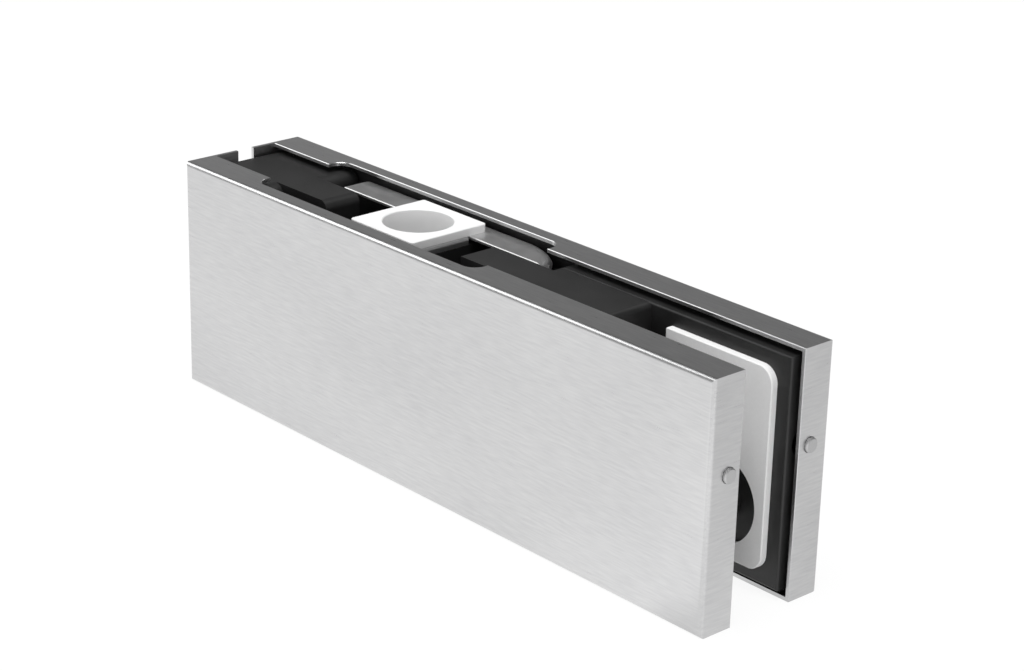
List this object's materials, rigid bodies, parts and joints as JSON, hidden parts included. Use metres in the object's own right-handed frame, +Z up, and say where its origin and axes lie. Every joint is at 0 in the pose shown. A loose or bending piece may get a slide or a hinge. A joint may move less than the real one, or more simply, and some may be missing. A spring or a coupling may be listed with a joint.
{
  "type": "top patch fitting for a glass pivot door",
  "caption": "Top pivot fitting for a frameless glass door: brushed steel covers over a black clamp that grips the glass, with a square plastic bush for the frame's pivot pin.",
  "frame": {"origin": "on the pivot axis, at the underside of the bush's square plate", "axes": "+X along the fitting to the glass, +Y to the back cover, +Z up along the pivot axis, out of the bore"},
  "size_m": [0.1627, 0.032, 0.052],
  "materials": {
    "brushed_cover": "fine brushed along X",
    "black_cast": "matt black coat on a casting",
    "white_plastic": "smooth white acetal",
    "pressed_plate": "bare pressed sheet, satin",
    "gasket": "smooth white",
    "screw_steel": "satin",
    "black_plastic": "matt",
    "pin_steel": "ground"
  },
  "bodies": {
    "fitting": {"front_cover": "brushed_cover", "back_cover": "brushed_cover", "front_body": "black_cast", "back_body": "black_cast", "bush_block": "black_cast", "pivot_bush": "white_plastic", "bush_plate": "pressed_plate", "front_gasket": "gasket", "back_gasket": "gasket", "clamp_screws": "screw_steel", "clamp_washers": "screw_steel", "clamp_nuts": "screw_steel", "block_screws": "screw_steel", "screw_sleeve": "black_plastic", "cover_dowels": "pin_steel", "back_plunger_sleeve": "screw_steel", "front_plunger_sleeve": "screw_steel", "back_plunger_spring": "pin_steel", "front_plunger_spring": "pin_steel"},
    "front_pin": {"front_plunger_pin": "pin_steel"},
    "back_pin": {"back_plunger_pin": "pin_steel"}
  },
  "joints": [
    {"name": "front_pin_slide", "type": "slide", "parent": "fitting", "child": "front_pin", "axis": [-1, 0, 0], "range_m": [0, 0.002], "stiffness_N_per_m": 3200, "springref_m": -0.0019, "deforming": ["front_plunger_spring"]},
    {"name": "back_pin_slide", "type": "slide", "parent": "fitting", "child": "back_pin", "axis": [-1, 0, 0], "range_m": [0, 0.002], "stiffness_N_per_m": 3200, "springref_m": -0.0019, "deforming": ["back_plunger_spring"]}
  ]
}
